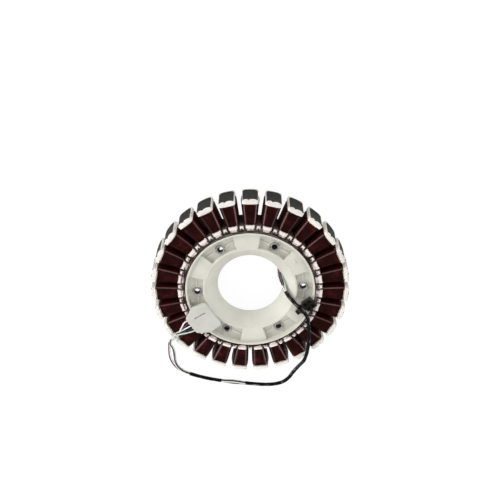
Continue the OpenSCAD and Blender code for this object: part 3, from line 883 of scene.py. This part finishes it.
# The harness: five insulated leads from the terminal cover, gathered in a white tie, sleeved
# in black on most of their way and ending in a plug under the hub. They hang and lie free.
LEAD_D = 1.9
LEAD_START = ((92.8, 1), (94.4, 1), (97.0, 1), (101.0, 0.9))
BUNDLE_R = 1.57
SLEEVE_R = 2.55
TWIST = 9
LOOP_APART = 3.4
GAP_APART = 1.0
ROW_STEP = 1.2
LAYER_STEP = 1.5
ROUTE = (
    (-98, -66, 41.2), (-105, -74, 41.2), (-107.5, -78, 41.2), (-108.8, -84, 38.8), (-108.4, -93, 33),
    (-108.7, -105, 26), (-109.2, -118, 18.5), (-109, -131, 11), (-106, -144.5, 5), (-98.5, -154.5, 3),
    (-87, -160.5, 3), (-65, -168, 3), (-42, -173, 3), (-18, -176, 3), (3, -178.6, 3), (22, -180.1, 3),
    (36, -179, 3), (47, -175.4, 3), (55.5, -168, 3), (61.5, -158, 3.5), (66.5, -146, 9), (70, -133, 19),
    (72.5, -120, 31), (74.5, -109, 39.5), (77.5, -96, 41), (79, -81, 41), (79, -63, 41.2), (78, -48, 42.4),
    (75, -36, 43.8), (68, -25, 44.2), (60, -18, 41.5), (52, -12, 35), (47, -6, 29), (43, 3, 25),
    (39.5, 12, 21), (38.5, 19, 16.5), (39, 27, 10.5), (38, 36, 5.5), (34, 45, 4), (28, 51, 4), (20, 54, 4),
    (12, 54, 4))
STEPS = 4
LOOP = (1, 10)
FIRST_SLEEVE = (10, 12)
SECOND_SLEEVE = (13.5, 32)


def smooth(points, steps):
    """Points along one smooth curve through a route."""
    points = [Vector(p) for p in points]
    ends = [2 * points[0] - points[1]] + points + [2 * points[-1] - points[-2]]
    line = []
    for a, b, c, d in zip(ends, ends[1:], ends[2:], ends[3:]):
        for k in range(steps):
            t = k / steps
            line.append(0.5 * (2 * b + (c - a) * t + (2 * a - 5 * b + 4 * c - d) * t * t
                               + (3 * b - a - 3 * c + d) * t**3))
    return line + [points[-1]]


def headings(line):
    """At each point of a line, its direction and the two directions square to it."""
    found = []
    for k in range(len(line)):
        ahead = (line[min(k + 1, len(line) - 1)] - line[max(k - 1, 0)]).normalized()
        across = ahead.cross(Vector((0, 0, 1))).normalized()
        found.append((ahead, across, across.cross(ahead)))
    return found


def swept(line, radii, sides):
    """A closed tube along a line, with a radius at each point."""
    tube = bmesh.new()
    turns = [2 * math.pi * k / sides for k in range(sides)]
    rings = []
    for point, (ahead, across, up), radius in zip(line, headings(line), radii):
        rings.append([
            tube.verts.new(point + radius * (math.cos(a) * across + math.sin(a) * up)) for a in turns])
    return skinned(tube, rings)


def bell(at, low, high):
    """A soft bump from 0 to 1 and back between two places."""
    if not low < at < high:
        return 0.0
    return math.sin(math.pi * (at - low) / (high - low)) ** 2


def ease(at, low, high):
    """A soft rise from 0 to 1 between two places."""
    t = min(1.0, max(0.0, (at - low) / (high - low)))
    return t * t * (3 - 2 * t)


harness = smooth(ROUTE, STEPS)
directions = headings(harness)


def lead_line(number):
    """The centre line of one lead, from inside the cover to inside the plug."""
    side = LEAD_SIDES[number]
    turn = Matrix.Rotation(COVER_TURN, 4, "Z")
    line = [turn @ Vector((r, side * pull, LEAD_Z)) for r, pull in LEAD_START]
    row = (number - 2) * ROW_STEP
    layer = LAYER_STEP * (number % 2)
    strand = 1 if number < 2 else -1
    for k, (point, (ahead, across, up)) in enumerate(zip(harness, directions)):
        at = k / STEPS
        a = math.radians(72 * number + 180 + TWIST * at)
        flat = ease(at, SECOND_SLEEVE[1], SECOND_SLEEVE[1] + 1.6)
        apart = LOOP_APART * strand * bell(at, *LOOP)
        apart += GAP_APART * strand * bell(at, FIRST_SLEEVE[1], SECOND_SLEEVE[0])
        sideways = (1 - flat) * (BUNDLE_R * math.cos(a) + apart) + flat * row
        upward = (1 - flat) * BUNDLE_R * math.sin(a) + flat * layer
        line.append(point + across * sideways + up * upward)
    return line


def lead_skin(name, pale, dark):
    """Glossy wire insulation with slight streaks."""
    finish, tree, shader, place = new_finish(name)
    tone = tones(tree, clouds(tree, place, 300, 4), [(0.35, dark), (0.65, pale)])
    tree.links.new(tone, shader.inputs["Base Color"])
    tree.links.new(spread(tree, clouds(tree, place, 900), 0.26, 0.4), shader.inputs["Roughness"])
    return finish


tie_line = [harness[0].lerp(harness[STEPS], k / 8) for k in range(9)]
tie_band = swept(tie_line, [2.6, 3.3, 3.5, 3.35, 3.55, 3.4, 3.5, 3.25, 2.6], 20)
ahead, across, up = directions[2]
on_tie = Matrix.Translation(tie_line[4]) @ Matrix((across, ahead, up)).transposed().to_4x4()
lock = moved(block((-2.0, -2.2, 2.6), (2.0, 2.2, 5.0), 0.5), on_tie)
tail_end = moved(block((-1.1, 0.6, 3.4), (1.1, 4.6, 4.3), 0.3), on_tie)
tie = as_piece("lead_tie", as_mesh("lead_tie", joined([tie_band, lock, tail_end])), cover_white,
               "cover_plastic", "harness_tie")

sleeve_black, tree, shader, place = new_finish("black_sleeving")
weave = tree.nodes.new("ShaderNodeTexWave")
weave.inputs["Scale"].default_value = 420
weave.inputs["Distortion"].default_value = 3
tree.links.new(place, weave.inputs["Vector"])
tone = tones(tree, clouds(tree, place, 240), [(0.3, seen(7, 7, 7)), (0.7, seen(19, 19, 19))])
tree.links.new(tone, shader.inputs["Base Color"])
tree.links.new(spread(tree, clouds(tree, place, 600), 0.34, 0.5), shader.inputs["Roughness"])
relief(tree, shader, weave.outputs["Fac"], 0.0001, 0.35)
shader.inputs["Specular IOR Level"].default_value = 0.06
for name, (first, last) in (("first_sleeve", FIRST_SLEEVE), ("second_sleeve", SECOND_SLEEVE)):
    run = harness[int(first * STEPS):last * STEPS + 1]
    outside = [SLEEVE_R + 0.05 * math.sin(1.7 * k) for k in range(len(run))]
    as_piece(name, as_mesh(name, swept(run, outside, 14)), sleeve_black, "sleeve")
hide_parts("harness_sleeve")

plug_shell = joined([
    block((-14, 46, 0), (9, 62, 10), 0.8, 3), block((8, 47.5, 1.2), (12, 60.5, 8.8), 0.5),
    block((-11, 51, 9), (6, 57, 11.2), 0.5), block((-13, 52.2, 10.6), (-9, 55.8, 12.2), 0.4),
    block((-12, 45.2, 2), (4, 46.5, 8), 0.3), block((-12, 61.5, 2), (4, 62.8, 8), 0.3)])
plug = as_piece("harness_plug_shell", as_mesh("harness_plug_shell", plug_shell), cover_white,
                "cover_plastic", "harness_plug")

for number, (name, pale, dark) in enumerate((
    ("white_lead_1", seen(243, 232, 232), seen(226, 208, 210)),
    ("slate_lead", seen(94, 62, 80), seen(60, 42, 58)),
    ("white_lead_2", seen(240, 236, 234), seen(224, 216, 214)),
    ("teal_lead", seen(46, 62, 60), seen(26, 38, 38)),
    ("grey_lead", seen(212, 219, 211), seen(190, 199, 191)),
)):
    line = lead_line(number)
    mesh = as_mesh(name, swept(line, [LEAD_D / 2] * len(line), 8))
    lead = as_piece(name, mesh, lead_skin(name + "_skin", pale, dark), "lead_insulation")
    length = sum((b - a).length for a, b in zip(line, line[1:])) * MM
    if number == 0:
        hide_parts("lead_wires", "harness_tail")

# The clip and the sensor's connector: black mouldings snapped onto the hub. The clip's saddle
# holds the sleeve down, and the connector block beside it is keyed and has two cavities.
CLIP_AT = (68.0, -25.0, 0.0)
CLIP_TURN = math.radians(220)
CLIP_LOW = 36.1
CLIP_HALF = 3.5
CLIP_IN_R = 2.75
CLIP_OUT_R = 4.3
SLEEVE_Z = 44.2

black_moulding = moulded("black_moulding", seen(48, 43, 38), seen(17, 15, 13), 0.2, 0.34)
turns = [math.radians(-20 + 220 * k / 12) for k in range(13)]
saddle = [polar(CLIP_OUT_R, a, 0)[:2] for a in turns]
saddle += [polar(CLIP_IN_R, math.radians(200 - 220 * k / 12), 0)[:2] for k in range(13)]
lie = Matrix(((1, 0, 0, 0), (0, 0, -1, 0), (0, 1, 0, SLEEVE_Z), (0, 0, 0, 1)))
clip_parts = [
    moved(prism(saddle, -CLIP_HALF, CLIP_HALF, 0.35), lie),
    block((-4.7, -CLIP_HALF, CLIP_LOW), (-2.7, CLIP_HALF, SLEEVE_Z), 0.4),
    block((2.7, -CLIP_HALF, CLIP_LOW), (4.7, CLIP_HALF, SLEEVE_Z), 0.4),
    block((-4.7, -CLIP_HALF, CLIP_LOW), (4.7, CLIP_HALF, 40.4), 0.4),
    block((2.8, -0.6, 36.9), (10.4, 5.6, 40.8), 0.5),
]
clip_place = Matrix.Translation(CLIP_AT) @ Matrix.Rotation(CLIP_TURN, 4, "Z")
as_piece("sleeve_clip", as_mesh("sleeve_clip", moved(joined(clip_parts), clip_place)), black_moulding,
         "black_plastic", "cable_clip")
housing = [
    block((-19.7, -7.5, 39.5), (-4.7, 7.5, 43.4), 0.6, 3),
    block((-19.7, -7.5, 42.8), (-17.9, 7.5, 46.5), 0.4), block((-6.5, -7.5, 42.8), (-4.7, 7.5, 46.5), 0.4),
    block((-19.0, -7.5, 42.8), (-5.4, -5.9, 46.2), 0.4), block((-19.0, 5.9, 42.8), (-5.4, 7.5, 46.2), 0.4),
    block((-13.0, -6.5, 42.8), (-11.4, 6.5, 45.7), 0.3),
    block((-18.5, -2.4, 43.0), (-12.5, 1.6, 45.4), 0.3),
    block((-11.0, -1.4, 43.0), (-6.0, 2.6, 45.0), 0.3),
    block((-15.5, 7.0, 40.2), (-9.0, 9.0, 44.0), 0.4),
]
as_piece("sensor_housing", as_mesh("sensor_housing", moved(joined(housing), clip_place)), black_moulding,
         "black_plastic", "sensor_connector")

# The stage: a wide white floor under soft studio light, and the camera at the photograph's
# angle, which looks down on the part's front from its +Y side.
FLOOR_SIZE = 6.0
TILT = math.radians(30.2)
DISTANCE = 1.106

floor_mesh = bpy.data.meshes.new("white_floor")
corners = [(x * FLOOR_SIZE, y * FLOOR_SIZE, 0) for x, y in ((-1, -1), (1, -1), (1, 1), (-1, 1))]
floor_mesh.from_pydata(corners, [], [(0, 1, 2, 3)])
floor = bpy.data.objects.new("white_floor", floor_mesh)
bpy.context.scene.collection.objects.link(floor)
floor.location.z = -0.0005
paper = bpy.data.materials.new("white_paper")
paper.use_nodes = True
tree = paper.node_tree
shader = tree.nodes["Principled BSDF"]
shader.inputs["Base Color"].default_value = (0.8, 0.8, 0.8, 1)
shader.inputs["Roughness"].default_value = 0.9
rays = tree.nodes.new("ShaderNodeLightPath")
straight = sums(tree, "MAXIMUM", rays.outputs["Is Camera Ray"], rays.outputs["Is Glossy Ray"])
through = sums(tree, "MAXIMUM", straight, rays.outputs["Is Transmission Ray"])
where = tree.nodes.new("ShaderNodeTexCoord")
far = length_of(tree, where.outputs["Object"])
shadow = tones(tree, sums(tree, "MULTIPLY", far, 5.0), [
    (0.0, (0.02, 0.02, 0.02, 1)), (0.64, (0.03, 0.03, 0.03, 1)), (0.8, (0.6, 0.6, 0.6, 1))])
lift = tree.nodes.new("ShaderNodeMix")
tree.links.new(rays.outputs["Is Camera Ray"], lift.inputs["Factor"])
tree.links.new(shadow, lift.inputs["A"])
lift.inputs["B"].default_value = 1.0
level = sums(tree, "MULTIPLY", lift.outputs["Result"], 0.95)
glow = tree.nodes.new("ShaderNodeEmission")
tree.links.new(level, glow.inputs["Strength"])
dim = tree.nodes.new("ShaderNodeBsdfDiffuse")
dim.inputs["Color"].default_value = (0.07, 0.07, 0.07, 1)
both = tree.nodes.new("ShaderNodeAddShader")
tree.links.new(glow.outputs[0], both.inputs[0])
tree.links.new(dim.outputs[0], both.inputs[1])
pick = tree.nodes.new("ShaderNodeMixShader")
tree.links.new(through, pick.inputs[0])
tree.links.new(shader.outputs[0], pick.inputs[1])
tree.links.new(both.outputs[0], pick.inputs[2])
tree.links.new(pick.outputs[0], tree.nodes["Material Output"].inputs["Surface"])
floor_mesh.materials.append(paper)

world = bpy.data.worlds.new("studio")
world.use_nodes = True
tree = world.node_tree
soft = tree.nodes["Background"]
soft.inputs["Color"].default_value = WHITE
around = tree.nodes.new("ShaderNodeTexCoord")
axes = split(tree, around.outputs["Generated"])
tree.links.new(spread(tree, axes["Z"], 0.85, 0.6, 0.15, 0.75), soft.inputs["Strength"])
band = tones(tree, axes["Z"], [
    (0.0, (0.2, 0.2, 0.2, 1)), (0.1, (0.25, 0.25, 0.25, 1)), (0.16, WHITE), (0.5, WHITE),
    (0.62, (0.03, 0.03, 0.03, 1))])
aside = spread(tree, axes["Y"], 0.1, 3.6, -0.8, -0.62)
cards = tree.nodes.new("ShaderNodeBackground")
cards.inputs["Color"].default_value = WHITE
tree.links.new(sums(tree, "MULTIPLY", band, aside), cards.inputs["Strength"])
plain = tree.nodes.new("ShaderNodeBackground")
plain.inputs["Color"].default_value = WHITE
plain.inputs["Strength"].default_value = 1.0
rays = tree.nodes.new("ShaderNodeLightPath")
pick = tree.nodes.new("ShaderNodeMixShader")
mirror = tree.nodes.new("ShaderNodeMixShader")
tree.links.new(rays.outputs["Is Glossy Ray"], mirror.inputs[0])
tree.links.new(soft.outputs[0], mirror.inputs[1])
tree.links.new(cards.outputs[0], mirror.inputs[2])
tree.links.new(rays.outputs["Is Camera Ray"], pick.inputs[0])
tree.links.new(mirror.outputs[0], pick.inputs[1])
tree.links.new(plain.outputs[0], pick.inputs[2])
tree.links.new(pick.outputs[0], tree.nodes["World Output"].inputs["Surface"])
bpy.context.scene.world = world


def lamp(name, at, power, size):
    """A square soft lamp that points at the middle of the part."""
    light = bpy.data.lights.new(name, "AREA")
    light.energy = power
    light.size = size
    shade = bpy.data.objects.new(name, light)
    bpy.context.scene.collection.objects.link(shade)
    shade.location = at
    shade.rotation_euler = (-Vector(at)).to_track_quat("-Z", "Y").to_euler()
    return shade


lamp("key_lamp", (-1.35, 0.8, 0.7), 9, 0.9)
lamp("fill_lamp", (0.2, 1.4, 0.6), 6, 1.0)
lamp("left_lamp", (-1.5, -0.2, 0.7), 12, 0.8)
lamp("right_lamp", (1.5, -0.2, 0.6), 8, 0.8)
low = lamp("low_lamp", (-0.1, -0.8, 0.6), 3, 0.5)
low.visible_glossy = False

camera_data = bpy.data.cameras.new("photo_camera")
camera_data.lens = 59.1
camera_data.sensor_width = 36
camera_data.shift_x = -0.0003
camera_data.shift_y = 0.0526
camera_data.clip_end = 20
camera = bpy.data.objects.new("photo_camera", camera_data)
bpy.context.scene.collection.objects.link(camera)
camera.location = (0, DISTANCE * math.sin(TILT), DISTANCE * math.cos(TILT))
camera.rotation_euler = (-TILT, 0, 0)
bpy.context.scene.camera = camera
bpy.context.scene.view_settings.view_transform = "Standard"
